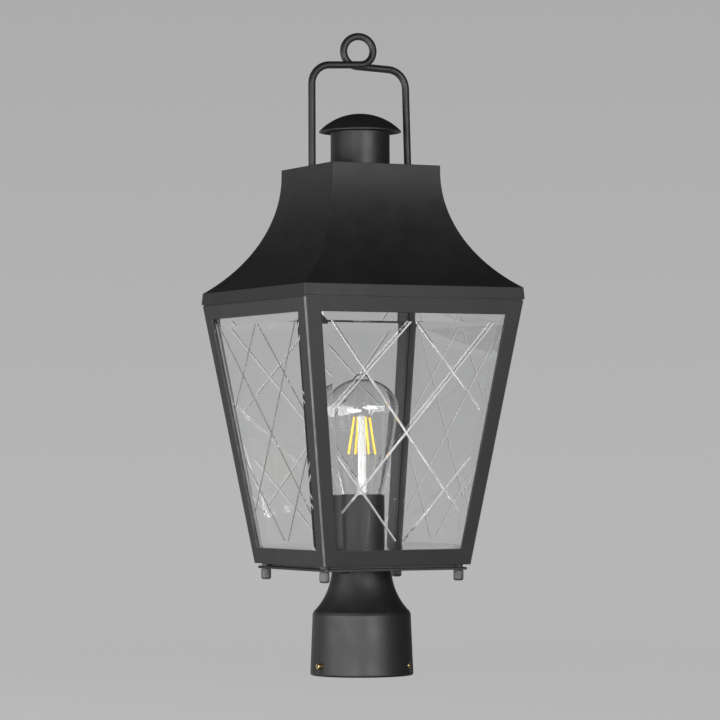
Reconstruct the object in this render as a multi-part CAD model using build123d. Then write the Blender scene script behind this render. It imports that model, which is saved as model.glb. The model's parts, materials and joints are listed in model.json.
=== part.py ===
from build123d import *
import os
from math import atan2, cos, degrees, hypot, radians, sin, sqrt, tan

# Post top lantern: a square tapered glass cage on a round post fitter, under a concave roof.
# Millimetres, +Z up, origin at the centre of the fitter's bottom rim, front face towards -Y.

# ---------------------------------------------------------------- post fitter
post_dia = 76.2                 # 3 in post
post_clearance = 0.4            # radial
fitter_base_r = 42.3
fitter_shoulder_r = 40.3
fitter_shoulder_z = 49.8
fitter_edge_r = 1.6             # rounding of the bottom edge
bore_depth = 47.0
stop_ledge = 3.5                # the post stops under this ledge
bell_arc_r = 51.5               # concave neck
bell_low_r = 39.4
bell_low_z = 52.0
neck_r = 24.5
neck_top_z = 86.8
neck_wall = 3.2
neck_roof = 4.0                 # closed top of the neck

# ---------------------------------------------------------------- set screws in the fitter
set_screw_angle = 190.5         # first one, degrees from +X
set_screw_z = 8.4
set_screw_r = 2.2
set_screw_stand_outs = (3.4, 0.2, 3.4)  # beyond the fitter's wall
set_screw_slot = 0.8
set_screw_slot_depth = 1.0
pad_half_width = 3.7            # flat-bottomed notch round each set screw
pad_depth = 1.2
pad_top_z = 11.5
thread_gap = 0.05               # radial room round every threaded or plain shank

# ---------------------------------------------------------------- base plate
plate_inset = 2.2               # plate's edge inside the cage's lower outer face
plate_thick = 2.1
plate_corner_r = 2.0
foot_gap = 2.1                  # between plate and cage, filled by gasket and spacers
gasket_width = 4.5
gasket_gap = 0.3                # beside the spacers

# ---------------------------------------------------------------- cage
cage_low_half = 66.5
cage_high_half = 98.7
cage_height = 213.5
cage_wall = 2.0
cage_corner_r = 1.8
mitre_seam = 0.1
stile_low = 12.0
stile_high = 13.9
rail_low = 12.5
rail_high = 11.3
flange_thick = 2.0

# ---------------------------------------------------------------- glass
glass_thick = 4.0
glass_field_depth = 1.5         # field's outer face below the frame's outer face
glass_corner_gap = 1.0
bevel_width = 13.0
bevel_depth = 2.0
groove_width = 2.0
groove_depth = 0.75
lattice_top_gap = 2.4           # half distance between the two lines at the top middle
lattice_low_gap = 3.4           # the same at the bottom middle
lattice_low_inset = 3.5         # bottom middle above the field's lower edge
lattice_cross_end = 0.146       # where lines meet the sides, as shares of the field's height
lattice_low_end = 0.404
lattice_high_end = 0.611
lattice_cross_start = 3.8       # from the field's top corner

# ---------------------------------------------------------------- glass clips
clip_width = 14.0
clip_thick = 1.5
clip_lip = 5.0                  # how far the lip reaches over the pane
clip_gap = 0.05                 # to the pane
clip_screw_reach = 10.2         # from the cage's outer face, at the bottom
roof_screw_reach = 11.6         # the same at the top
screw_land = 4.0                # from these screws to the flanges' inner edges
clip_low_x = 25.0
clip_high_x = 45.0

# ---------------------------------------------------------------- ring and roof
ring_thick = 1.4
ring_inset = 0.9                # ring behind the cage's outer face
eave_overhang = 0.4             # beyond the cage's outer faces
eave_draft = 0.8
eave_height = 9.4
roof_rise = 96.5
roof_top_half = 48.7
roof_crown = 4.7                # straight band above the curve
roof_wall = 1.5

# ---------------------------------------------------------------- chimney and dome
chimney_r = 24.4
chimney_wall = 1.5
chimney_height = 29.3           # above the roof
chimney_flange = 3.6
backing_thick = 3.0
backing_gap = 0.4               # to the inside of the roof
dome_sphere_r = 46.9
dome_rim_r = 33.8
dome_rise = 15.4                # dome top above the chimney's top
dome_wall = 1.5
dome_lip = 1.0
boss_r = 4.5
bridge_width = 10.0
bridge_thick = 2.0
bridge_drop = 6.0               # top of the bridge below the chimney's top
bridge_tab = 9.0

# ---------------------------------------------------------------- handle
wire_r = 3.0
leg_left_x = -44.0
leg_right_x = 44.1
leg_right_lean = 0.026          # inward per mm of rise
leg_tail = 6.2                  # below the roof's top sheet
bend_r = 16.0
bar_left_rise = 0.043
bar_right_fall = 0.05
loop_r = 11.5
loop_back_r = 12.3              # last quarter, into the right bar
loop_x = -1.4
loop_above_roof = 96.4          # loop centre above the roof's top face
loop_offset = 3.25              # half the distance between the two passes
hole_gap = 0.06

# ---------------------------------------------------------------- lamp holder
nipple_r = 5.0
nipple_bore_r = 3.6
nipple_below = 7.0              # below the neck's closed top
nipple_nut_flats = 14.0
nipple_nut_height = 3.0
washer_r = 8.0
washer_thick = 1.0
strap_pitch = 88.9              # the two strap screws, on the diagonal
strap_width = 16.0
strap_thick = 2.0
strap_end = 7.0
cup_r = 18.4
cup_floor = 1.5
cup_spigot = 6.0
sleeve_wall = 1.2
sleeve_height = 55.4
holder_body_r = 15.6
holder_body_height = 16.0
shell_wall = 0.5
shell_height = 27.0
contact_r = 3.6
contact_thick = 0.8

# ---------------------------------------------------------------- bulb
cap_crest_r = 13.0
cap_thread_depth = 0.75
cap_pitch = 3.63
cap_turns = 5
cap_height = 24.5
cap_wall = 0.6
cap_skirt_r = 13.0
cap_insulator_r = 8.2
cap_insulator_height = 3.2
cap_contact_r = 4.6
cap_contact_height = 1.2
shell_clearance = 0.35
bulb_wall = 0.9
bulb_neck_gap = 0.3             # between the neck and the cap
bulb_neck_inside = 20.5         # length of the neck inside the cap
bulb_outline = (                # radius and height above the cap
    (16.0, 13.6), (24.6, 50.3), (29.1, 76.3), (30.0, 85.6), (28.5, 91.9), (21.5, 101.3), (7.4, 108.3),
)
bulb_tip_height = 113.3
stem_r = 3.4
stem_gap = 0.02
stem_height = 79.0
filament_count = 4
filament_r = 0.9
filament_low_r = 12.3
filament_low_height = 47.1
filament_high_r = 7.0
filament_high_height = 77.1
bulb_wire_r = 0.35

# ---------------------------------------------------------------- thumb screws and small fasteners
thumb_inset_x = 5.8             # thumb screws from the cage's lower outer face
thumb_inset_y = 11.4
thumb_head_r = 4.1
thumb_head_height = 8.2
thumb_edge = 1.8
thumb_collar_r = 3.5
thumb_collar_height = 0.8
thumb_shank_r = 2.0
thumb_ribs = 24
thumb_rib_depth = 0.3
spacer_r = 3.6
gusset_thick = 1.5
gusset_arm = 20.0
gusset_width = 11.0
gusset_inset = 2.0              # from the cage's outer face
gusset_screw_inset_x = 16.5     # from the cage's lower outer face
gusset_screw_inset_y = 9.5
small_r = 1.5
small_head_r = 2.9
small_head_height = 1.7
small_nut_flats = 5.5
small_nut_height = 2.4
strap_screw_r = 2.5
strap_head_r = 4.7
strap_head_height = 2.6
strap_nut_flats = 8.0
strap_nut_height = 4.0
far = 400.0                     # longer than any piece

# ---------------------------------------------------------------- levels that follow from the sizes
post_bore_r = post_dia / 2 + post_clearance
plate_z = neck_top_z
plate_top_z = plate_z + plate_thick
cage_z = plate_top_z + foot_gap
cage_top_z = cage_z + cage_height
taper = (cage_high_half - cage_low_half) / cage_height
lean = atan2(cage_high_half - cage_low_half, cage_height)
slope_length = cage_height / cos(lean)
ring_top_z = cage_top_z + ring_thick
eave_low_half = cage_high_half + eave_overhang
eave_high_half = eave_low_half - eave_draft
eave_top_z = ring_top_z + eave_height
crown_z = eave_top_z + roof_rise
roof_top_z = crown_z + roof_crown
chimney_top_z = roof_top_z + chimney_height
dome_top_z = chimney_top_z + dome_rise
sphere_z = dome_top_z - dome_sphere_r
flange_top_z = cage_z + flange_thick
under_flange_z = cage_top_z - flange_thick
strap_top_z = plate_top_z + strap_thick
cup_top_z = strap_top_z + cup_floor
glass_depth = glass_field_depth + glass_thick
glass_inset = glass_depth / cos(lean) + glass_corner_gap
roof_screw_line = cage_high_half - roof_screw_reach
clip_screw_line = cage_low_half - clip_screw_reach
top_opening_half = roof_screw_line - screw_land
low_opening_half = clip_screw_line - screw_land
holder_low_z = cup_top_z + nipple_nut_height + 0.5
cap_low_z = holder_low_z + 8.6 + contact_thick
cap_base_z = cap_low_z + cap_contact_height + cap_insulator_height
cap_top_z = cap_base_z + cap_height
cap_root_r = cap_crest_r - cap_thread_depth
bulb_neck_r = cap_root_r - cap_wall - bulb_neck_gap
bulb_neck_z = cap_top_z - bulb_neck_inside
plate_half = cage_low_half - plate_inset
thumb_x = cage_low_half - thumb_inset_x
thumb_y = cage_low_half - thumb_inset_y
gusset_screw_x = cage_low_half - gusset_screw_inset_x
gusset_screw_y = cage_low_half - gusset_screw_inset_y
gasket_half = thumb_x - spacer_r - gasket_gap


def cage_half(z):
    """Half width of the cage's outer faces at height z."""
    return cage_low_half + taper * (z - cage_z)


def disc(r, z0, z1, x=0.0, y=0.0):
    """Upright cylinder between two heights."""
    return Pos(x, y, (z0 + z1) / 2) * Cylinder(r, z1 - z0)


def pipe(r_out, r_in, z0, z1, x=0.0, y=0.0):
    """Upright tube between two heights."""
    return disc(r_out, z0, z1, x, y) - disc(r_in, z0 - 1, z1 + 1, x, y)


def block(x0, x1, y0, y1, z0, z1):
    """Box from its corners."""
    return Pos((x0 + x1) / 2, (y0 + y1) / 2, (z0 + z1) / 2) * Box(x1 - x0, y1 - y0, z1 - z0)


def square_ring(half, width, z0, z1):
    """Flat square ring."""
    inner = half - width
    return block(-half, half, -half, half, z0, z1) - block(-inner, inner, -inner, inner, z0 - 1, z1 + 1)


def turned(points):
    """Solid of revolution about Z from (radius, height) corners."""
    return revolve(Plane.XZ * make_face(Polyline(*points, close=True)), Axis.Z)


def hex_nut(flats, hole_r, z0, z1, x=0.0, y=0.0):
    """Hexagonal nut with chamfered corners."""
    body = extrude(Pos(x, y, z0) * RegularPolygon(flats / 2, 6, major_radius=False), z1 - z0)
    bevel = flats * 0.05
    cone = disc(flats * 0.56, z0, z1, x, y)
    cone = chamfer(cone.edges().filter_by(GeomType.CIRCLE), bevel)
    return (body & cone) - disc(hole_r, z0 - 1, z1 + 1, x, y)


def pan_screw(shank_r, head_r, head_height, length):
    """Screw with its head below z = 0, its shank above, and a cross recess in the head."""
    head = disc(head_r, -head_height, 0)
    head = fillet(head.faces().sort_by(Axis.Z)[0].edges(), head_height * 0.55)
    recess_r = head_r * 0.55
    arm = head_r * 0.2
    low = -head_height - 1
    recess = block(-recess_r, recess_r, -arm / 2, arm / 2, low, -head_height * 0.45)
    return head - recess - Rot(0, 0, 90) * recess + disc(shank_r, 0, length)


def corners_of(half_x, half_y):
    """The four points (+-x, +-y), going round from the front right."""
    return [(half_x, -half_y), (half_x, half_y), (-half_x, half_y), (-half_x, -half_y)]


def around(shape):
    """The shape and its three copies on the other sides."""
    return [Rot(0, 0, 90 * side) * shape for side in range(4)]


def group(solids):
    """Separate solids in one node."""
    return Compound(children=list(solids))


# ---------------------------------------------------------------- base

def post_fitter():
    centre_z = bell_low_z + sqrt(bell_arc_r ** 2 - (neck_r + bell_arc_r - bell_low_r) ** 2)
    centre_r = neck_r + bell_arc_r

    def arc_at(angle, r):
        return (centre_r - r * cos(angle), centre_z - r * sin(angle))

    def bell(r, low, high):
        """Concave arc between two heights, as (start, middle, end)."""
        a0 = atan2(centre_z - low, sqrt(r ** 2 - (centre_z - low) ** 2))
        a1 = atan2(centre_z - high, sqrt(r ** 2 - (centre_z - high) ** 2))
        return [arc_at(a0 + (a1 - a0) * share, r) for share in (0.0, 0.5, 1.0)]

    inner_r = bell_arc_r + neck_wall
    ledge_r = post_bore_r - stop_ledge
    roof_under = neck_top_z - neck_roof
    outer = bell(bell_arc_r, bell_low_z, min(centre_z, neck_top_z - 0.5))
    inner = bell(inner_r, bore_depth + 5.6, min(centre_z, roof_under))
    edge = fitter_edge_r
    turn = sin(radians(45)) * edge
    profile = [
        Line((post_bore_r, 0), (fitter_base_r - edge, 0)),
        ThreePointArc((fitter_base_r - edge, 0), (fitter_base_r - edge + turn, edge - turn),
                      (fitter_base_r, edge)),
        Line((fitter_base_r, edge), (fitter_shoulder_r, fitter_shoulder_z)),
        Line((fitter_shoulder_r, fitter_shoulder_z), outer[0]),
        ThreePointArc(*outer),
        Line(outer[-1], (neck_r, neck_top_z)),
        Line((neck_r, neck_top_z), (nipple_r + thread_gap, neck_top_z)),
        Line((nipple_r + thread_gap, neck_top_z), (nipple_r + thread_gap, roof_under)),
        Line((nipple_r + thread_gap, roof_under), inner[-1]),
        ThreePointArc(*reversed(inner)),
        Line(inner[0], (ledge_r, bore_depth)),
        Line((ledge_r, bore_depth), (post_bore_r, bore_depth)),
        Line((post_bore_r, bore_depth), (post_bore_r, 0)),
    ]
    body = revolve(Plane.XZ * make_face(Curve() + profile), Axis.Z)
    for angle in set_screw_angles():
        notch = block(fitter_base_r - pad_depth, far, -pad_half_width, pad_half_width, -1, pad_top_z)
        hole = Rot(0, 90, 0) * Cylinder(set_screw_r + thread_gap, fitter_base_r * 2)
        hole = Pos(fitter_base_r, 0, set_screw_z) * hole
        body = body - Rot(0, 0, angle) * notch - Rot(0, 0, angle) * hole
    return body


def set_screw_angles():
    count = len(set_screw_stand_outs)
    return [set_screw_angle + 360 / count * index for index in range(count)]


def set_screw(angle, stand_out):
    inner_end = post_bore_r
    outer_end = fitter_base_r + stand_out
    length = outer_end - inner_end
    body = Rot(0, 90, 0) * Cylinder(set_screw_r, length)
    body = Pos(inner_end + length / 2, 0, 0) * body
    body = chamfer(body.edges().filter_by(GeomType.CIRCLE), 0.4)
    slot = block(outer_end - set_screw_slot_depth, outer_end + 1, -set_screw_r - 1, set_screw_r + 1,
                 -set_screw_slot / 2, set_screw_slot / 2)
    return Rot(0, 0, angle) * Pos(0, 0, set_screw_z) * (body - Rot(35, 0, 0) * slot)


def base_plate():
    plate = block(-plate_half, plate_half, -plate_half, plate_half, plate_z, plate_top_z)
    plate = fillet(plate.edges().filter_by(Axis.Z), plate_corner_r)
    plate = fillet(plate.faces().sort_by(Axis.Z)[-1].edges(), 0.6)
    plate -= disc(nipple_r + thread_gap, 0, far)
    for x, y in corners_of(thumb_x, thumb_y):
        plate -= disc(thumb_shank_r + thread_gap, 0, far, x, y)
    for x, y in strap_points():
        plate -= disc(strap_screw_r + thread_gap, 0, far, x, y)
    return plate


def strap_points():
    half = strap_pitch / 2 * cos(radians(45))
    return [(-half, -half), (half, half)]


def socket_strap():
    half = strap_pitch / 2 + strap_end
    strap = block(-half, half, -strap_width / 2, strap_width / 2, plate_top_z, strap_top_z)
    strap = Rot(0, 0, 45) * fillet(strap.edges().filter_by(Axis.Z), strap_width * 0.45)
    strap -= disc(nipple_r + thread_gap, 0, far)
    for x, y in strap_points():
        strap -= disc(strap_screw_r + thread_gap, 0, far, x, y)
    return strap


def strap_screws():
    length = plate_thick + strap_thick + strap_nut_height + 1.2
    screw = pan_screw(strap_screw_r, strap_head_r, strap_head_height, length)
    return group(Pos(x, y, plate_z) * screw for x, y in strap_points())


def strap_nuts():
    top = strap_top_z + strap_nut_height
    return group(hex_nut(strap_nut_flats, strap_screw_r + thread_gap, strap_top_z, top, x, y)
                 for x, y in strap_points())


def threaded_nipple():
    low = neck_top_z - neck_roof - nipple_below
    high = cup_top_z + nipple_nut_height + 0.4
    nipple = pipe(nipple_r, nipple_bore_r, low, high)
    return chamfer(nipple.edges().filter_by(GeomType.CIRCLE).sort_by(SortBy.RADIUS)[-2:], 0.5)


def nipple_nuts():
    under = neck_top_z - neck_roof - washer_thick
    hole = nipple_r + thread_gap
    return group([
        hex_nut(nipple_nut_flats, hole, under - nipple_nut_height, under),
        hex_nut(nipple_nut_flats, hole, cup_top_z, cup_top_z + nipple_nut_height),
    ])


def lock_washer():
    under = neck_top_z - neck_roof
    washer = pipe(washer_r, nipple_r + thread_gap, under - washer_thick, under)
    for index in range(12):
        tooth = block(washer_r - 1.2, washer_r + 1, -0.5, 0.5, under - washer_thick - 1, under + 1)
        washer -= Rot(0, 0, 30 * index) * tooth
    return washer


def socket_cup():
    """Cup that the sleeve slips over, clamped on the strap by the nipple's upper nut."""
    inner_r = cup_r - sleeve_wall - 0.1
    cup = disc(cup_r, strap_top_z, cup_top_z) + pipe(inner_r, inner_r - 1.2, cup_top_z, cup_top_z + cup_spigot)
    return cup - disc(nipple_r + thread_gap, 0, far)


def socket_sleeve():
    return pipe(cup_r, cup_r - sleeve_wall, cup_top_z, cup_top_z + sleeve_height)


def socket_body():
    """Moulded holder body: foot on the upper nut, floor under the contact, wall round the shell."""
    shell_r = cap_crest_r + shell_clearance + shell_wall
    floor_z = cap_low_z - contact_thick
    top = holder_low_z + holder_body_height
    body = disc(holder_body_r, holder_low_z, top)
    body -= disc(shell_r + 0.05, floor_z, top + 1)
    wire_hole = disc(1.6, 0, far, 9.0, 0)
    body -= wire_hole
    body -= Rot(0, 0, 180) * wire_hole
    return fillet(body.faces().sort_by(Axis.Z)[0].outer_wire().edges(), 1.5)


def socket_shell():
    """Plain-bored brass shell: rolled from thin sheet, with a floor that leaves the contact free."""
    inner = cap_crest_r + shell_clearance
    floor_z = cap_low_z - contact_thick
    shell = pipe(inner + shell_wall, inner, floor_z, floor_z + shell_height)
    floor = pipe(inner + shell_wall, contact_r + 3.0, floor_z, floor_z + shell_wall)
    return shell + floor


def socket_contact():
    floor_z = cap_low_z - contact_thick
    contact = disc(contact_r, floor_z, cap_low_z - 0.05)
    return fillet(contact.faces().sort_by(Axis.Z)[-1].edges(), 0.3)


def foot_gasket():
    return square_ring(gasket_half, gasket_width, plate_top_z, cage_z)


def foot_spacers():
    return group(pipe(spacer_r, thumb_shank_r + thread_gap, plate_top_z, cage_z, x, y)
                 for x, y in corners_of(thumb_x, thumb_y))


def thumb_screw(x, y):
    low = plate_z - thumb_collar_height - thumb_head_height
    head = disc(thumb_head_r, low, low + thumb_head_height)
    head = fillet(head.faces().sort_by(Axis.Z)[0].edges(), thumb_edge)
    for index in range(thumb_ribs):
        groove = Rot(0, 0, 45) * Box(thumb_rib_depth * 1.4, thumb_rib_depth * 1.4, far)
        head -= Rot(0, 0, 360 / thumb_ribs * index) * Pos(thumb_head_r, 0, far / 2 + low + thumb_edge) * groove
    top = cage_z + flange_thick + gusset_thick
    screw = head + disc(thumb_collar_r, low + thumb_head_height, plate_z) + disc(thumb_shank_r, plate_z, top)
    return Pos(x, y, 0) * screw


# ---------------------------------------------------------------- bulb

def bulb_cap():
    """Screw cap: a thin turned shell with rounded thread ridges."""
    root = cap_root_r
    points = [(root, cap_base_z)]
    for turn in range(cap_turns):
        z = cap_base_z + 1.5 + cap_pitch * turn
        points += [(root, z), (cap_crest_r, z + cap_pitch * 0.35), (cap_crest_r, z + cap_pitch * 0.5),
                   (root, z + cap_pitch * 0.85)]
    points += [(root, cap_top_z - 3.0), (cap_skirt_r, cap_top_z - 2.0), (cap_skirt_r, cap_top_z)]
    inner = root - cap_wall
    points += [(inner, cap_top_z), (inner, cap_base_z)]
    return turned(points)


def cap_insulator():
    """Black glass cone between the cap's shell and its end contact."""
    low = cap_low_z + cap_contact_height
    return turned([(0, low), (cap_contact_r, low), (cap_insulator_r, low + 1.2), (cap_root_r, cap_base_z),
                   (0, cap_base_z)])


def cap_contact():
    contact = disc(cap_contact_r, cap_low_z, cap_low_z + cap_contact_height)
    return fillet(contact.faces().sort_by(Axis.Z)[0].edges(), 0.8)


def envelope_curve(inset):
    """Wall line of the bulb from the neck's open end to the tip, moved inward by inset."""
    points = [(bulb_neck_r, cap_top_z)] + [(r, cap_top_z + height) for r, height in bulb_outline]
    moved = []
    for index, (r, z) in enumerate(points[1:], 1):
        before, after = points[index - 1], points[min(index + 1, len(points) - 1)]
        length = hypot(after[0] - before[0], after[1] - before[1])
        moved.append((r - inset * (after[1] - before[1]) / length, z + inset * (after[0] - before[0]) / length))
    neck = bulb_neck_r - inset
    tip_z = cap_top_z + bulb_tip_height - inset
    r, z = moved[-1]
    tip_r = (r ** 2 + (tip_z - z) ** 2) / (2 * (tip_z - z))
    half_way = (r / 2, tip_z - tip_r + sqrt(tip_r ** 2 - r ** 2 / 4))
    return [
        Line((neck, bulb_neck_z), (neck, cap_top_z + 1)),
        Line((neck, cap_top_z + 1), moved[0]),
        Spline(*moved),
        ThreePointArc(moved[-1], half_way, (0, tip_z)),
    ]


def bulb_glass():
    """Blown envelope, open at the neck; the stem closes it."""
    outer, inner = envelope_curve(0.0), envelope_curve(bulb_wall)
    edges = outer + inner + [Line(outer[-1] @ 1, inner[-1] @ 1), Line(outer[0] @ 0, inner[0] @ 0)]
    return revolve(Plane.XZ * make_face(Curve() + edges), Axis.Z)


def bulb_stem():
    """Glass stem: a flare that closes the neck, drawn out to a rod that carries the wires."""
    floor = bulb_neck_z
    rise = cap_top_z + stem_height - floor
    flare = bulb_neck_r - bulb_wall - stem_gap
    return turned([(0, floor), (flare, floor), (flare, floor + 1.5), (flare * 0.7, floor + rise * 0.12),
                   (stem_r * 1.4, floor + rise * 0.3), (stem_r, floor + rise * 0.45),
                   (stem_r, floor + rise - 1.5), (stem_r - 1.0, floor + rise), (0, floor + rise)])


def rod(start, end, r):
    """Round rod between two points."""
    a, b = Vector(*start), Vector(*end)
    return extrude(Plane(origin=a, z_dir=b - a) * Circle(r), (b - a).length)


def bulb_filaments():
    low_z = cap_top_z + filament_low_height
    high_z = cap_top_z + filament_high_height
    stick = rod((filament_low_r, 0, low_z), (filament_high_r, 0, high_z), filament_r)
    return group(Rot(0, 0, 360 / filament_count * index) * stick for index in range(filament_count))


def bulb_wires():
    """Support wires from the stem to both ends of each filament."""
    wires = []
    start = stem_r + stem_gap
    low_z = cap_top_z + filament_low_height - bulb_wire_r * 2
    high_z = cap_top_z + filament_high_height + bulb_wire_r * 2
    low = rod((start, 0, low_z), (filament_low_r + filament_r, 0, low_z), bulb_wire_r)
    high = rod((start, 0, high_z), (filament_high_r + filament_r, 0, high_z), bulb_wire_r)
    for index in range(filament_count):
        turn = Rot(0, 0, 360 / filament_count * index)
        wires += [turn * low, turn * high]
    return group(wires)


# ---------------------------------------------------------------- cage

def face_plane(depth=0.0):
    """Plane of the front face: X to the right, Y up the slope, Z outwards."""
    outward = Vector(0, -cos(lean), -sin(lean))
    return Plane(origin=Vector(0, -cage_low_half, cage_z) - outward * depth, x_dir=(1, 0, 0), z_dir=outward)


def trapezoid(low_half, high_half, low_v, high_v):
    return make_face(Polyline((-low_half, low_v), (low_half, low_v), (high_half, high_v), (-high_half, high_v),
                              close=True))


def cage_hull():
    """Whole tapered block with its rounded vertical corners."""
    low = Pos(0, 0, cage_z) * Rectangle(2 * cage_low_half, 2 * cage_low_half)
    high = Pos(0, 0, cage_top_z) * Rectangle(2 * cage_high_half, 2 * cage_high_half)
    hull = loft([low, high], ruled=True)
    slanted = [edge for edge in hull.edges() if abs((edge @ 0).Z - (edge @ 1).Z) > cage_height / 2]
    return fillet(slanted, cage_corner_r)


def mitre_wedge():
    """Everything that belongs to the front side, up to the mitre joints."""
    tip = mitre_seam / 2 * sqrt(2)
    outline = Polyline((0, -tip), (-far, -far - tip), (far, -far - tip), close=True)
    return extrude(make_face(outline), 2 * far)


def flange_holes():
    """Every fastener that passes through a flange of the cage."""
    holes = [disc(thumb_shank_r + thread_gap, 0, far, x, y) for x, y in corners_of(thumb_x, thumb_y)]
    holes += [disc(small_r + thread_gap, 0, cage_z + cage_height / 2, x, y) for x, y in gusset_screw_points()]
    holes += [disc(small_r + thread_gap, 0, cage_z + cage_height / 2, x, y) for x, y in clip_screw_points()]
    holes += [disc(small_r + thread_gap, cage_z + cage_height / 2, far * 2, x, y) for x, y in roof_screw_points()]
    return holes


def side_frame(hull, wedge, holes, side):
    v_low = rail_low / cos(lean)
    v_high = slope_length - rail_high / cos(lean)
    half_low = cage_half(cage_z + rail_low) - stile_low
    half_high = cage_half(cage_top_z - rail_high) - stile_high
    slab = extrude(face_plane(cage_wall) * trapezoid(far, far, -far, slope_length + far), cage_wall)
    slab += block(-far, far, -cage_low_half, -low_opening_half, cage_z, flange_top_z)
    slab += block(-far, far, -cage_high_half, -top_opening_half, under_flange_z, cage_top_z)
    slab = slab & wedge & hull
    slab -= extrude(face_plane(cage_wall * 2) * trapezoid(half_low, half_high, v_low, v_high), cage_wall * 3)
    slab = Rot(0, 0, 90 * side) * slab
    for hole in holes:
        slab -= hole
    return slab


def glass_pane(side):
    """Bevelled pane with a cut lattice; modelled flat, its field's outer face at z = 0."""
    rim_depth = glass_field_depth + bevel_depth
    v_low = (clip_thick + flange_thick + clip_gap - rim_depth * sin(lean)) / cos(lean)
    v_high = (cage_height - clip_thick - flange_thick - clip_gap - 1.0 - glass_depth * sin(lean)) / cos(lean)
    field_low = v_low + bevel_width
    field_high = v_high - bevel_width

    def rim_half(v):
        return cage_low_half + sin(lean) * v - glass_inset

    def field_half(v):
        return rim_half(v) - bevel_width

    rim = trapezoid(rim_half(v_low), rim_half(v_high), v_low, v_high)
    field = trapezoid(field_half(field_low), field_half(field_high), field_low, field_high)
    pane = extrude(Pos(0, 0, -glass_thick) * rim, glass_thick - bevel_depth)
    pane += loft([Pos(0, 0, -bevel_depth) * rim, field], ruled=True)

    def height_at(share):
        return field_low + (field_high - field_low) * share

    def groove(x0, v0, x1, v1):
        length = sqrt((x1 - x0) ** 2 + (v1 - v0) ** 2)
        angle = degrees(atan2(v1 - v0, x1 - x0))
        lip = 0.2
        half = groove_width / 2 * (groove_depth + lip) / groove_depth
        section = Plane.YZ * make_face(Polyline((-half, lip), (half, lip), (0, -groove_depth), close=True))
        bar = extrude(section, length / 2, both=True)
        return Pos((x0 + x1) / 2, (v0 + v1) / 2, 0) * Rot(0, 0, angle) * bar

    cross_v = height_at(lattice_cross_end)
    low_v = height_at(lattice_low_end)
    high_v = height_at(lattice_high_end)
    top_x = field_half(field_high) - lattice_cross_start
    lines = [
        (-top_x, field_high, field_half(cross_v), cross_v),
        (-lattice_top_gap, field_high, -field_half(high_v), high_v),
        (-field_half(low_v), low_v, -lattice_low_gap, field_low + lattice_low_inset),
    ]
    inside = extrude(Pos(0, 0, -glass_thick) * field, 2 * glass_thick)
    for x0, v0, x1, v1 in lines:
        for mirror in (1, -1):
            pane -= groove(mirror * x0, v0, mirror * x1, v1) & inside
    return Rot(0, 0, 90 * side) * face_plane(glass_field_depth).location * pane


def clip_screw_points():
    return [point for x in (-clip_low_x, clip_low_x)
            for point in ((x, -clip_screw_line), (x, clip_screw_line), (-clip_screw_line, x), (clip_screw_line, x))]


def roof_screw_points():
    return [point for x in (-clip_high_x, clip_high_x)
            for point in ((x, -roof_screw_line), (x, roof_screw_line), (-roof_screw_line, x), (roof_screw_line, x))]


def gusset_screw_points():
    points = []
    for sx, sy in ((1, -1), (1, 1), (-1, 1), (-1, -1)):
        points.append((sx * gusset_screw_x, sy * gusset_screw_y))
        points.append((sx * gusset_screw_y, sy * (gusset_screw_x - 6.0)))
    return points


def low_clips():
    """Angle clips on the bottom flanges: the pane stands on the foot, the lip holds its back."""
    clips = []
    top = flange_top_z + clip_thick
    lip_v = (flange_thick + clip_thick) / cos(lean) + clip_lip
    for x in (-clip_low_x, clip_low_x):
        x0, x1 = x - clip_width / 2, x + clip_width / 2
        foot = block(x0, x1, -cage_low_half + cage_wall + 1.0, -clip_screw_line + 3.6, flange_top_z, top)
        lip_face = make_face(Polyline((x0, -5), (x1, -5), (x1, lip_v), (x0, lip_v), close=True))
        lip = extrude(face_plane(glass_depth + clip_gap + clip_thick) * lip_face, clip_thick)
        lip -= block(-far, far, -far, far, -far, flange_top_z)
        clip = foot + lip - disc(small_r + thread_gap, 0, far, x, -clip_screw_line)
        clips += around(clip)
    return group(clips)


def high_clips():
    """Angle clips under the top flanges, clamped by the roof screws."""
    clips = []
    low = under_flange_z - clip_thick
    lip_v = slope_length - (flange_thick + clip_thick + 2.4) / cos(lean) - clip_lip
    inner = roof_screw_line - 3.6
    for x in (-clip_high_x, clip_high_x):
        x0, x1 = x - clip_width / 2, x + clip_width / 2
        foot = block(x0, x1, -cage_high_half + cage_wall + 2.0, -inner, low, under_flange_z)
        lip_face = make_face(Polyline((x0, lip_v), (x1, lip_v), (x1, far), (x0, far), close=True))
        lip = extrude(face_plane(glass_depth + clip_gap + clip_thick) * lip_face, clip_thick)
        lip -= block(-far, far, -far, far, under_flange_z, far * 2)
        clip = foot + lip - disc(small_r + thread_gap, 0, far, x, -roof_screw_line)
        clips += around(clip)
    return group(clips)


def clip_screws():
    screw = Rot(180, 0, 0) * pan_screw(small_r, small_head_r, small_head_height, clip_thick + flange_thick)
    return group(Pos(x, y, flange_top_z + clip_thick) * screw for x, y in clip_screw_points())


def corner_gussets():
    """Angle plates on the bottom flanges: they tie the mitres and take the thumb screws."""
    plates = []
    outer = cage_low_half - gusset_inset
    inner = outer - gusset_width
    top = flange_top_z + gusset_thick
    for sx, sy in ((1, -1), (1, 1), (-1, 1), (-1, -1)):
        arm_x = block(*sorted((sx * (outer - gusset_arm), sx * outer)), *sorted((sy * inner, sy * outer)),
                      flange_top_z, top)
        arm_y = block(*sorted((sx * inner, sx * outer)), *sorted((sy * (outer - gusset_arm - 6.0), sy * outer)),
                      flange_top_z, top)
        plate = arm_x + arm_y
        plate -= disc(thumb_shank_r + thread_gap, 0, far, sx * thumb_x, sy * thumb_y)
        for x, y in gusset_screw_points():
            plate -= disc(small_r + thread_gap, 0, far, x, y)
        plates.append(plate)
    return group(plates)


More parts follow.
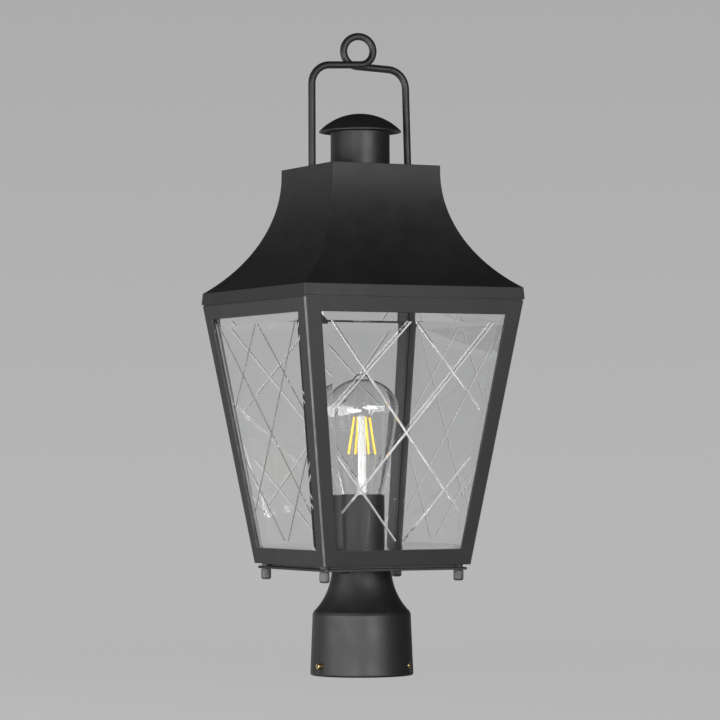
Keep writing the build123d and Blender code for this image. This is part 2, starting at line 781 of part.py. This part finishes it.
def gusset_screws():
    screw = Rot(180, 0, 0) * pan_screw(small_r, small_head_r, small_head_height, gusset_thick + flange_thick)
    return group(Pos(x, y, flange_top_z + gusset_thick) * screw for x, y in gusset_screw_points())


def cage_top_ring():
    half = cage_high_half - ring_inset
    ring = square_ring(half, half - top_opening_half, cage_top_z, ring_top_z)
    for x, y in roof_screw_points():
        ring -= disc(small_r + thread_gap, 0, far * 2, x, y)
    return ring


# ---------------------------------------------------------------- roof

def roof_profile(inset):
    """Upright section of the roof, its sides moved inward by inset."""
    drop = roof_rise
    run = eave_high_half - roof_top_half
    arc_r = (run ** 2 + drop ** 2) / (2 * run)
    centre_x = roof_top_half + arc_r
    r = arc_r + inset
    low_z = eave_top_z - inset * 0.4
    low_x = centre_x - sqrt(r ** 2 - (crown_z - low_z) ** 2)
    mid_z = (low_z + crown_z) / 2
    mid_x = centre_x - sqrt(r ** 2 - (crown_z - mid_z) ** 2)
    top_x = roof_top_half - inset
    top_z = roof_top_z - inset
    floor_z = ring_top_z - (1.0 if inset else 0.0)
    return [
        Line((-eave_low_half + inset, floor_z), (eave_low_half - inset, floor_z)),
        Line((eave_low_half - inset, floor_z), (low_x, low_z)),
        ThreePointArc((low_x, low_z), (mid_x, mid_z), (top_x, crown_z)),
        Line((top_x, crown_z), (top_x, top_z)),
        Line((top_x, top_z), (-top_x, top_z)),
        Line((-top_x, top_z), (-top_x, crown_z)),
        ThreePointArc((-top_x, crown_z), (-mid_x, mid_z), (-low_x, low_z)),
        Line((-low_x, low_z), (-eave_low_half + inset, floor_z)),
    ]


def roof_block(inset):
    """Square solid whose four sides all follow the roof's section."""
    section = extrude(Plane.XZ * make_face(Curve() + roof_profile(inset)), far / 2, both=True)
    return section & Rot(0, 0, 90) * section


def roof_shell():
    roof = roof_block(0.0) - roof_block(roof_wall)
    half = eave_low_half - roof_wall / 2
    roof += square_ring(half, half - top_opening_half, ring_top_z, ring_top_z + roof_wall)
    roof -= disc(chimney_r + hole_gap, crown_z, far * 2)
    for x in (leg_left_x, leg_right_at(roof_top_z - roof_wall / 2)):
        roof -= disc(wire_r + hole_gap, crown_z, far * 2, x, 0)
    for x, y in roof_screw_points():
        roof -= disc(small_r + thread_gap, 0, ring_top_z + roof_wall * 2, x, y)
    return roof


def roof_screws():
    length = clip_thick + flange_thick + ring_thick + roof_wall + small_nut_height + 1.0
    screw = pan_screw(small_r, small_head_r, small_head_height, length)
    return group(Pos(x, y, under_flange_z - clip_thick) * screw for x, y in roof_screw_points())


def roof_nuts():
    low = ring_top_z + roof_wall
    return group(hex_nut(small_nut_flats, small_r + thread_gap, low, low + small_nut_height, x, y)
                 for x, y in roof_screw_points())


def backing_plate():
    """Plate under the roof's top sheet that stiffens the chimney and handle holes."""
    half = roof_top_half - roof_wall - backing_gap
    top = roof_top_z - roof_wall
    plate = block(-half, half, -half, half, top - backing_thick, top)
    plate -= disc(chimney_r + hole_gap, 0, far * 2)
    for x in (leg_left_x, leg_right_at(top - backing_thick / 2)):
        plate -= disc(wire_r + hole_gap, 0, far * 2, x, 0)
    return plate


def chimney_tube():
    low = roof_top_z - roof_wall - backing_thick - chimney_wall
    tube = pipe(chimney_r, chimney_r - chimney_wall, low, chimney_top_z)
    return tube + pipe(chimney_r + chimney_flange, chimney_r - chimney_wall, low, low + chimney_wall)


def dome_z(r, sphere_r):
    return sphere_z + sqrt(sphere_r ** 2 - r ** 2)


def dome_cap():
    inner_r = dome_sphere_r - dome_wall
    rim_z = dome_z(dome_rim_r, dome_sphere_r)
    inner_rim = dome_rim_r - dome_wall
    inner_z = dome_z(inner_rim, inner_r)
    low_z = min(rim_z - dome_lip, inner_z - 0.2)
    mid = dome_rim_r / 2
    profile = [
        Line((0, sphere_z + inner_r), (0, dome_top_z)),
        ThreePointArc((0, dome_top_z), (mid, dome_z(mid, dome_sphere_r)), (dome_rim_r, rim_z)),
        Line((dome_rim_r, rim_z), (dome_rim_r, low_z)),
        Line((dome_rim_r, low_z), (inner_rim, low_z)),
        Line((inner_rim, low_z), (inner_rim, inner_z)),
        ThreePointArc((inner_rim, inner_z), (mid, dome_z(mid, inner_r)), (0, sphere_z + inner_r)),
    ]
    dome = revolve(Plane.XZ * make_face(Curve() + profile), Axis.Z)
    dome += disc(boss_r, bridge_top_z(), sphere_z + inner_r + dome_wall / 2)
    return dome - disc(small_r + thread_gap, 0, bridge_top_z() + 9.0)


def bridge_top_z():
    return chimney_top_z - bridge_drop


def dome_bridge():
    """Cross bar in the chimney with turned-down ends; the dome is screwed to it."""
    top = bridge_top_z()
    reach = chimney_r - chimney_wall
    half = bridge_width / 2
    bar = block(-half, half, -reach, reach, top - bridge_thick, top)
    for sign in (-1, 1):
        tab_y = sorted((sign * (reach - 2.6), sign * reach))
        bar += block(-half, half, *tab_y, top - bridge_tab, top - bridge_thick)
    bar = bar & disc(reach - hole_gap, 0, far * 2)
    return bar - disc(small_r + thread_gap, 0, far * 2)


def dome_screw():
    return Pos(0, 0, bridge_top_z() - bridge_thick) * pan_screw(small_r, 3.4, 2.0, bridge_thick + 8.0)


# ---------------------------------------------------------------- handle

def leg_right_at(z):
    """Centre of the leaning right leg at height z."""
    return leg_right_x - leg_right_lean * (z - roof_top_z)


def handle():
    """One bent wire: two legs, two bars and a single turn of eye between them."""
    loop_z = roof_top_z + loop_above_roof
    low_z = roof_top_z - leg_tail

    def half_path(foot_x, foot_lean, slope, side, quarter_r):
        """Leg, bend, bar and quarter turn, in the upright plane through the leg and the loop."""
        foot_x0 = foot_x + foot_lean * (roof_top_z - low_z) * side
        start = (loop_x, side * loop_offset)
        reach = sqrt((start[0] - foot_x0) ** 2 + start[1] ** 2)
        ux, uy = (start[0] - foot_x0) / reach, start[1] / reach
        tilt = atan2(slope, 1)
        centre_s = reach + loop_r - quarter_r
        touch_s = centre_s + quarter_r * sin(tilt)
        touch_z = loop_z - quarter_r * cos(tilt)
        corner_s = (touch_s * slope - touch_z + low_z) / (slope - 1 / foot_lean) if foot_lean else 0.0
        corner_z = touch_z - slope * (touch_s - corner_s)

        def spot(s, z):
            return Vector(foot_x0 + ux * s, uy * s, z)

        foot, corner, touch = spot(0, low_z), spot(corner_s, corner_z), spot(touch_s, touch_z)
        into = (corner - foot).normalized()
        out = (touch - corner).normalized()
        turn = radians(into.get_angle(out))
        cut = bend_r * tan(turn / 2)
        p0, p1 = corner - into * cut, corner + out * cut
        inward = (out - into).normalized()
        middle = corner + inward * (bend_r / cos(turn / 2) - bend_r)
        side_point = spot(reach + loop_r, loop_z)
        quarter_angle = (tilt - radians(90)) / 2
        quarter = spot(centre_s + quarter_r * cos(quarter_angle), loop_z + quarter_r * sin(quarter_angle))
        return [Line(foot, p0), ThreePointArc(p0, middle, p1), Line(p1, touch),
                ThreePointArc(touch, quarter, side_point)], side_point

    left, right_side = half_path(leg_left_x, 0.0, bar_left_rise, -1, loop_r)
    right, left_side = half_path(leg_right_x, leg_right_lean, bar_right_fall, 1, loop_back_r)
    centre = (right_side + left_side) * 0.5
    half_span = (right_side - left_side).length / 2
    crown = Vector(centre.X, centre.Y, loop_z + half_span)
    path = left + [ThreePointArc(right_side, crown, left_side)] + right
    start = left[0] @ 0
    return sweep(Plane(origin=start, z_dir=(0, 0, 1)) * Circle(wire_r), path=Wire(Curve() + path))


# ---------------------------------------------------------------- all nodes

def build():
    hull, wedge, holes = cage_hull(), mitre_wedge(), flange_holes()
    names = ("front", "right", "back", "left")
    nodes = {
        "post_fitter": post_fitter(), "base_plate": base_plate(), "foot_gasket": foot_gasket(),
        "foot_spacers": foot_spacers(), "socket_strap": socket_strap(), "strap_screws": strap_screws(),
        "strap_nuts": strap_nuts(), "threaded_nipple": threaded_nipple(), "nipple_nuts": nipple_nuts(),
        "lock_washer": lock_washer(), "socket_cup": socket_cup(), "socket_sleeve": socket_sleeve(),
        "socket_body": socket_body(), "socket_shell": socket_shell(), "socket_contact": socket_contact(),
        "bulb_cap": bulb_cap(), "cap_insulator": cap_insulator(), "cap_contact": cap_contact(),
        "bulb_glass": bulb_glass(), "bulb_stem": bulb_stem(), "bulb_filaments": bulb_filaments(),
        "bulb_wires": bulb_wires(), "low_clips": low_clips(), "high_clips": high_clips(),
        "clip_screws": clip_screws(), "corner_gussets": corner_gussets(), "gusset_screws": gusset_screws(),
        "cage_top_ring": cage_top_ring(), "roof_shell": roof_shell(), "roof_screws": roof_screws(),
        "roof_nuts": roof_nuts(), "backing_plate": backing_plate(), "chimney_tube": chimney_tube(),
        "dome_cap": dome_cap(), "dome_bridge": dome_bridge(), "dome_screw": dome_screw(), "handle": handle(),
    }
    for side, name in enumerate(names):
        nodes[name + "_frame"] = side_frame(hull, wedge, holes, side)
        nodes[name + "_pane"] = glass_pane(side)
    for name, (x, y) in zip(("front_right", "back_right", "back_left", "front_left"), corners_of(thumb_x, thumb_y)):
        nodes["thumb_screw_" + name] = thumb_screw(x, y)
    for index, (angle, stand_out) in enumerate(zip(set_screw_angles(), set_screw_stand_outs)):
        nodes[f"set_screw_{index + 1}"] = set_screw(angle, stand_out)
    return nodes


os.makedirs("parts", exist_ok=True)
for node_name, shape in build().items():
    export_step(shape, f"parts/{node_name}.step")
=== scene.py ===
import json
import math

import bpy
from mathutils import Matrix, Vector


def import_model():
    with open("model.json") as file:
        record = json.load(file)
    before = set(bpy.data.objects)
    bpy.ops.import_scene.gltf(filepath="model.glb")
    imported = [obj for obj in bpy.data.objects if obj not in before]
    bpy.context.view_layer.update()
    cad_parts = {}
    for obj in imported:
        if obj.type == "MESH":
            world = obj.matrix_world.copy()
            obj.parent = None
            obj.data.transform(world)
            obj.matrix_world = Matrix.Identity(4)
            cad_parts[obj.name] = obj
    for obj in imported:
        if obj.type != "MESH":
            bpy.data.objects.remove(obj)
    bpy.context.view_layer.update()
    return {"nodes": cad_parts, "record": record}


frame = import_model()
nodes = frame["nodes"]

# Post top lantern, in metres: front pane towards -Y, origin at the centre of the fitter's bottom rim.
# Azimuths are in degrees: 0 is in front of the front pane, positive is towards +X.

CAMERA_AZIMUTH = -26.602
CAMERA_DISTANCE = 2.8159
CAMERA_HEIGHT = 0.1752
CAMERA_YAW, CAMERA_PITCH, CAMERA_ROLL = 26.588, 1.690, -0.19     # degrees
CAMERA_LENS, SENSOR_WIDTH = 171.25, 36.0                         # mm
CLIP_NEAR, CLIP_FAR = 0.05, 100.0

# Outer faces of the tapered cage, at its lower and upper end.
CAGE_LOW_HALF, CAGE_LOW_Z = 0.0665, 0.0910
CAGE_HIGH_HALF, CAGE_HIGH_Z = 0.0987, 0.3045

# Each pair below runs from where a ramp starts to where it ends.
BACKDROP_RISE = (-0.02, 0.13)            # height of a view direction: the backdrop's low tone to its high one
OVERHEAD_RISE = (0.06, 0.36)             # the same: the room around the lantern to the dark overhead
BRIGHT_SIDE_TURN = (0.2, 0.55)           # cosine to the bright side's middle: the dim room to the backdrop
FLOOR_SIDE_TURN = (0.0, 0.5)             # the same for the floor's glow
FLOOR_FADE = (0.15, 1.2)                 # distance from the axis: shaded floor to the backdrop's tone
EDGE_COSINE = (0.995, 0.93)              # rounded normal against the flat one: a face to an edge
CORNER_HIGHLIGHT_SPAN = (0.0016, 0.0008)           # distance from the cage's corner: outside the painted highlight line to inside it
NOISE_RANGE = (0.3, 0.7)                 # where most values of a noise texture lie

BACKDROP_HIGH = (0.415, 0.415, 0.423)
BACKDROP_LOW = (0.468, 0.468, 0.470)
ROOM_DARK = (0.024, 0.024, 0.026)
ROOM_DIM = tuple(c * 2.0 for c in ROOM_DARK)
ROOM_BRIGHT_AZIMUTH = -165.0             # middle of the side where the backdrop lights the lantern

FLOOR_RADIUS = 30.0
FLOOR_DROP = 0.0005                      # below the fitter's rim, so that the faces don't share a plane
FLOOR_GREY = (0.03, 0.03, 0.03)
FLOOR_GLOW = 0.95                        # glow by the lantern, as a share of the backdrop's tone
FLOOR_DIM = 0.25                         # glow on the dim side, as surfaces mirror it

BLACK = (0.0085, 0.0085, 0.009)
FRAME_BLACK = tuple(c * 1.6 for c in BLACK)
COAT_ROUGHNESS = 0.48
COAT_WORN = (0.05, 0.05, 0.052)
COAT_TONE_SPREAD = 0.18                  # how far the patches of a coat go from its tone, as a share
COAT_GRAIN_DEPTH = 0.00004
TOOL_MARK_DEPTH = 0.00003
GLASS_WAVE_DEPTH = 0.0002
GLASS_FILM_ROUGHNESS = 0.015
GROOVE_SLOPE, SLOPE_MARGIN = 0.75, 0.15  # sideways part of the true normal on a groove's faces
GROOVE_ROUGHNESS = 0.1


def rgba(colour, factor=1.0):
    return tuple(c * factor for c in colour) + (1.0,)


# ---------------------------------------------------------------- node helpers

class Nodes:
    """A node tree with short calls for the nodes used here.

    A value is a number, a colour or another node's output.
    """

    def __init__(self, tree):
        self.tree = tree

    def add(self, kind, inputs=None, **settings):
        node = self.tree.nodes.new(kind)
        for key, value in settings.items():
            setattr(node, key, value)
        for key, value in (inputs or {}).items():
            if isinstance(value, bpy.types.NodeSocket):
                self.tree.links.new(value, node.inputs[key])
            else:
                node.inputs[key].default_value = value
        return node

    def calc(self, operation, *values):
        return self.add("ShaderNodeMath", dict(enumerate(values)), operation=operation).outputs["Value"]

    def dot(self, first, second):
        node = self.add("ShaderNodeVectorMath", {0: first, 1: second}, operation="DOT_PRODUCT")
        return node.outputs["Value"]

    def axes(self, vector):
        return self.add("ShaderNodeSeparateXYZ", {"Vector": vector}).outputs

    def ramp(self, value, ends, low=0.0, high=1.0, shape="LINEAR"):
        """Low where the value is at the first of the ends, high at the second, and clamped beyond."""
        limits = {"Value": value, "From Min": ends[0], "From Max": ends[1], "To Min": low, "To Max": high}
        return self.add("ShaderNodeMapRange", limits, interpolation_type=shape).outputs["Result"]

    def blend(self, factor, first, second):
        return self.add("ShaderNodeMix", {0: factor, 6: first, 7: second}, data_type="RGBA").outputs[2]

    def towards_bright_side(self, direction):
        """Cosine of the angle between a direction and the middle of the room's bright side."""
        middle = math.radians(ROOM_BRIGHT_AZIMUTH)
        return self.dot(direction, (math.sin(middle), -math.cos(middle), 0.0))

    def seen(self):
        """1 for what the eye sees, also through glass; 0 for what surfaces mirror or scatter."""
        path = self.add("ShaderNodeLightPath").outputs
        turns = self.calc("ADD", path["Diffuse Depth"], path["Glossy Depth"])
        return self.calc("LESS_THAN", turns, 0.5)


class Shader(Nodes):
    """A material and its nodes. Noise scales are in cycles per metre."""

    def __init__(self, name):
        self.material = bpy.data.materials.new(name)
        self.material.use_nodes = True
        super().__init__(self.material.node_tree)
        self.principled = self.tree.nodes["Principled BSDF"]
        self.output = self.tree.nodes["Material Output"]
        self.place = self.add("ShaderNodeTexCoord").outputs["Object"]

    def set(self, key, value):
        self.principled.inputs[key].default_value = value

    def link(self, output, key):
        self.tree.links.new(output, self.principled.inputs[key])

    def noise(self, scale, detail=3.0):
        inputs = {"Vector": self.place, "Scale": scale, "Detail": detail}
        return self.add("ShaderNodeTexNoise", inputs).outputs["Fac"]

    def spread(self, noise, low=0.0, high=1.0):
        return self.ramp(noise, NOISE_RANGE, low, high)

    def edges(self, radius):
        """(rounded normal, mask that is 1 on edges narrower than the radius)."""
        rounded = self.add("ShaderNodeBevel", {"Radius": radius}, samples=6).outputs["Normal"]
        flat = self.add("ShaderNodeNewGeometry").outputs["Normal"]
        return rounded, self.ramp(self.dot(rounded, flat), EDGE_COSINE)

    def bump(self, height, strength, distance, normal=None):
        inputs = {"Height": height, "Strength": strength, "Distance": distance}
        if normal:
            inputs["Normal"] = normal
        self.link(self.add("ShaderNodeBump", inputs).outputs["Normal"], "Normal")

    def surface(self, first, second, factor):
        """Sets the surface to a mix of two shaders."""
        mix = self.add("ShaderNodeMixShader", {0: factor, 1: first, 2: second})
        self.tree.links.new(mix.outputs["Shader"], self.output.inputs["Surface"])


# ---------------------------------------------------------------- materials

def painted_corner_highlight(s):
    """Mask for a painted highlight: 1 on the rounded upright corners of the tapered cage, 0 elsewhere."""
    at = s.axes(s.place)
    x, y = (s.calc("ABSOLUTE", at[axis]) for axis in ("X", "Y"))
    half = s.ramp(at["Z"], (CAGE_LOW_Z, CAGE_HIGH_Z), CAGE_LOW_HALF, CAGE_HIGH_HALF)
    from_corner = s.calc("SUBTRACT", half, s.calc("MINIMUM", x, y))
    return s.ramp(from_corner, CORNER_HIGHLIGHT_SPAN)


def coated(name, colour, roughness, grain=1500.0, edge=0.0006, worn=None, corners=None, gloss=0.5):
    """Painted or moulded surface: patchy tone, uneven gloss, fine grain and rubbed edges.

    worn is the tone on rubbed edges, corners the tone of a painted highlight along the cage's upright
    corners.
    """
    s = Shader(name)
    patches = s.spread(s.noise(22.0, detail=5.0))
    base = s.blend(patches, rgba(colour, 1.0 - COAT_TONE_SPREAD), rgba(colour, 1.0 + COAT_TONE_SPREAD))
    normal, edge_mask = s.edges(edge)
    if worn:
        wear_and_highlight_mottle = s.spread(s.noise(160.0), 0.15, 0.8)
        base = s.blend(s.calc("MULTIPLY", edge_mask, wear_and_highlight_mottle), base, rgba(worn))
    # painted highlight: a lighter, mottled line along the cage's upright corners
    if corners:
        wear_and_highlight_mottle = s.spread(s.noise(120.0), 0.55, 1.0)
        base = s.blend(s.calc("MULTIPLY", painted_corner_highlight(s), wear_and_highlight_mottle), base, rgba(corners))
    s.link(base, "Base Color")
    s.set("Specular IOR Level", gloss)
    smears = s.noise(60.0, detail=4.0)
    s.link(s.spread(smears, roughness - 0.05, roughness + 0.06), "Roughness")
    s.bump(s.noise(grain, detail=2.0), 0.35, COAT_GRAIN_DEPTH, normal)
    return s.material


def metal(name, colour, roughness, edge=0.0003):
    """Bare or plated metal with fine tool marks."""
    s = Shader(name)
    patches = s.spread(s.noise(90.0, detail=4.0))
    s.link(s.blend(patches, rgba(colour, 0.82), rgba(colour, 1.08)), "Base Color")
    s.set("Metallic", 1.0)
    smears = s.noise(240.0)
    s.link(s.spread(smears, roughness - 0.08, roughness + 0.1), "Roughness")
    normal, _ = s.edges(edge)
    s.bump(s.noise(900.0, detail=2.0), 0.25, TOOL_MARK_DEPTH, normal)
    return s.material


def ground_grooves(s, roughness, matt):
    """(roughness, share of clear glass) for a pane whose lattice grooves are ground.

    A groove's faces slope across the pane, so they show by their true normal.
    """
    facing = s.axes(s.add("ShaderNodeNewGeometry").outputs["True Normal"])
    across = s.calc("MAXIMUM", s.calc("ABSOLUTE", facing["X"]), s.calc("ABSOLUTE", facing["Y"]))
    groove = s.calc("COMPARE", across, GROOVE_SLOPE, SLOPE_MARGIN)
    grit = s.noise(350.0)
    ground = s.spread(grit, 1.0 - matt * 1.15, 1.0 - matt * 0.85)
    clear_share = s.add("ShaderNodeMix", {0: groove, 2: 1.0, 3: ground}, data_type="FLOAT").outputs[0]
    return s.calc("MULTIPLY_ADD", groove, GROOVE_ROUGHNESS, roughness), clear_share


def glass(name, tint, ior, wave_scale, groove_matt=0.0, milk=0.0):
    """Clear glass with faint waviness and a thin, uneven film; shadows pass through it.

    groove_matt is how matt the ground grooves are, milk how milky a glass without grooves is.
    """
    s = Shader(name)
    film = s.spread(s.noise(30.0, detail=5.0))
    s.link(s.blend(film, rgba(tint), rgba(tint, 0.99)), "Base Color")
    s.set("IOR", ior)
    smears = s.noise(45.0, detail=4.0)
    roughness = s.spread(smears, 0.0, GLASS_FILM_ROUGHNESS)
    if groove_matt:
        roughness, clear_share = ground_grooves(s, roughness, groove_matt)
        s.link(clear_share, "Transmission Weight")
    else:
        s.set("Transmission Weight", 1.0 - milk)
    s.link(roughness, "Roughness")
    s.bump(s.noise(wave_scale, detail=1.0), 0.4, GLASS_WAVE_DEPTH)
    clear = s.add("ShaderNodeBsdfTransparent", {"Color": rgba(tint)}).outputs["BSDF"]
    shadow = s.add("ShaderNodeLightPath").outputs["Is Shadow Ray"]
    s.surface(s.principled.outputs["BSDF"], clear, shadow)
    return s.material


def filament(name, colour, glow):
    """Phosphor-coated sticks: matt, slightly mottled, with a faint painted glow that makes them brighter."""
    s = Shader(name)
    mottle = s.spread(s.noise(700.0))
    base = s.blend(mottle, rgba(colour, 0.85), rgba(colour, 1.1))
    s.link(base, "Base Color")
    s.link(base, "Emission Color")
    # painted glow: emission that brightens the sticks beyond what the studio light gives
    s.set("Emission Strength", glow)
    s.link(s.spread(s.noise(500.0), 0.55, 0.75), "Roughness")
    s.bump(s.noise(1200.0), 0.3, 0.00005)
    return s.material


slot_looks = {
    "black_coat": coated("black_coat", BLACK, COAT_ROUGHNESS, worn=COAT_WORN),
    "clear_glass": glass("clear_glass", (0.978, 0.982, 0.98), ior=1.52, wave_scale=9.0, groove_matt=0.14),
    "bulb_glass": glass("bulb_glass", (0.985, 0.99, 0.985), ior=1.48, wave_scale=25.0),
    "plated_steel": metal("plated_steel", (0.62, 0.61, 0.58), roughness=0.34),
    "brass": metal("brass", (0.72, 0.55, 0.27), roughness=0.3),
    "black_plastic": coated("black_plastic", (0.004, 0.004, 0.0042), 0.45, worn=(0.03, 0.03, 0.03),
                            gloss=0.3),
    "grey_rubber": coated("grey_rubber", (0.06, 0.06, 0.06), 0.75, grain=700.0, edge=0.0003),
    "filament_yellow": filament("filament_yellow", (0.9, 0.5, 0.06), glow=0.4),
}
stem_glass = glass("stem_glass", (0.95, 0.95, 0.94), ior=1.48, wave_scale=60.0, milk=0.2)
# the corners tone is a painted highlight along the cage's upright corners
frame_coat = coated("frame_coat", FRAME_BLACK, COAT_ROUGHNESS, worn=COAT_WORN, corners=(0.16, 0.16, 0.165))
screw_coat = coated("screw_coat", (0.05, 0.05, 0.053), 0.4, grain=2500.0, worn=(0.12, 0.12, 0.125))


def look_of(name, slot):
    """A piece's material: its own, or else the one of its slot."""
    if name == "bulb_stem":
        return stem_glass
    if name.endswith("_frame"):
        return frame_coat
    if name.startswith("thumb_screw"):
        return screw_coat
    return slot_looks[slot]


for entry in frame["record"]["subparts"]:
    piece = nodes[entry["node"]]
    piece.data.materials.clear()
    piece.data.materials.append(look_of(entry["node"], entry["material_slot"]))


# ---------------------------------------------------------------- stage, light, camera

def world():
    """Pale backdrop as the eye sees it; for gloss and shade the room is dim overhead and on one side."""
    studio = bpy.data.worlds.new("studio")
    bpy.context.scene.world = studio
    studio.use_nodes = True
    n = Nodes(studio.node_tree)
    direction = n.add("ShaderNodeTexCoord").outputs["Generated"]
    rise = n.axes(direction)["Z"]
    backdrop = n.blend(n.ramp(rise, BACKDROP_RISE), rgba(BACKDROP_LOW), rgba(BACKDROP_HIGH))
    sideways = n.ramp(n.towards_bright_side(direction), BRIGHT_SIDE_TURN, shape="SMOOTHSTEP")
    around_lantern = n.blend(sideways, rgba(ROOM_DIM), rgba(BACKDROP_LOW))
    overhead = n.ramp(rise, OVERHEAD_RISE, shape="SMOOTHSTEP")
    room = n.blend(overhead, around_lantern, rgba(ROOM_DARK))
    n.tree.links.new(n.blend(n.seen(), room, backdrop), n.tree.nodes["Background"].inputs["Color"])


def floor():
    """Pale floor that takes the backdrop's tone away from the lantern, so no horizon shows."""
    bpy.ops.mesh.primitive_circle_add(vertices=96, radius=FLOOR_RADIUS, fill_type="TRIFAN",
                                      location=(0, 0, -FLOOR_DROP))
    disc = bpy.context.object
    disc.name = "floor"
    s = Shader("floor")
    s.set("Base Color", rgba(FLOOR_GREY))
    s.set("Roughness", 0.9)
    s.set("Specular IOR Level", 0.1)
    s.set("Emission Color", rgba(BACKDROP_LOW))
    outwards = s.add("ShaderNodeVectorMath", {0: s.place}, operation="NORMALIZE").outputs["Vector"]
    sideways = s.ramp(s.towards_bright_side(outwards), FLOOR_SIDE_TURN, low=FLOOR_DIM, shape="SMOOTHSTEP")
    strength = s.calc("MAXIMUM", s.seen(), sideways)
    s.link(s.calc("MULTIPLY", strength, FLOOR_GLOW), "Emission Strength")
    far_floor = s.add("ShaderNodeEmission", {"Color": rgba(BACKDROP_LOW), "Strength": strength})
    distance = s.add("ShaderNodeVectorMath", {0: s.place}, operation="LENGTH").outputs["Value"]
    away = s.ramp(distance, FLOOR_FADE, shape="SMOOTHSTEP")
    s.surface(s.principled.outputs["BSDF"], far_floor.outputs["Emission"], away)
    disc.data.materials.append(s.material)


def around(azimuth, distance, height):
    """The point at an azimuth, a distance from the lantern's axis and a height."""
    angle = math.radians(azimuth)
    return Vector((math.sin(angle) * distance, -math.cos(angle) * distance, height))


def softbox(name, azimuth, distance, height, width, tall, power, aim=0.25):
    """Area light, width by tall, that faces the lantern's axis at the height aim; power is in watts."""
    light = bpy.data.lights.new(name, "AREA")
    light.shape = "RECTANGLE"
    light.size, light.size_y, light.energy = width, tall, power
    holder = bpy.data.objects.new(name, light)
    bpy.context.scene.collection.objects.link(holder)
    holder.location = around(azimuth, distance, height)
    facing = Vector((0, 0, aim)) - holder.location
    holder.rotation_euler = facing.to_track_quat("-Z", "Y").to_euler()
    holder.visible_camera = False


def camera():
    data = bpy.data.cameras.new("camera")
    data.sensor_width, data.lens = SENSOR_WIDTH, CAMERA_LENS
    data.clip_start, data.clip_end = CLIP_NEAR, CLIP_FAR
    cam = bpy.data.objects.new("camera", data)
    bpy.context.scene.collection.objects.link(cam)
    yaw, pitch, roll = (math.radians(angle) for angle in (CAMERA_YAW, CAMERA_PITCH, CAMERA_ROLL))
    forward = Vector((math.sin(yaw) * math.cos(pitch), math.cos(yaw) * math.cos(pitch), math.sin(pitch)))
    right = Vector((math.cos(yaw), -math.sin(yaw), 0.0))
    up = right.cross(forward)
    right, up = (right * math.cos(roll) + up * math.sin(roll),
                 up * math.cos(roll) - right * math.sin(roll))
    place = Matrix((right, up, -forward)).transposed().to_4x4()
    place.translation = around(CAMERA_AZIMUTH, CAMERA_DISTANCE, CAMERA_HEIGHT)
    cam.matrix_world = place
    bpy.context.scene.camera = cam


world()
floor()
softbox("key", azimuth=2.0, distance=2.3, height=0.40, width=1.8, tall=0.62, power=29.0)
softbox("key_core", azimuth=-4.0, distance=2.2, height=0.40, width=0.45, tall=0.60, power=9.0)
softbox("front_low", azimuth=-38.0, distance=1.0, height=0.05, width=0.35, tall=0.22, power=3.0, aim=0.02)
softbox("left_low", azimuth=-78.0, distance=0.75, height=0.18, width=0.9, tall=0.34, power=5.5)
softbox("left_far", azimuth=-47.0, distance=2.2, height=0.42, width=0.55, tall=0.75, power=9.5)
camera()
bpy.context.scene.view_settings.view_transform = "Standard"
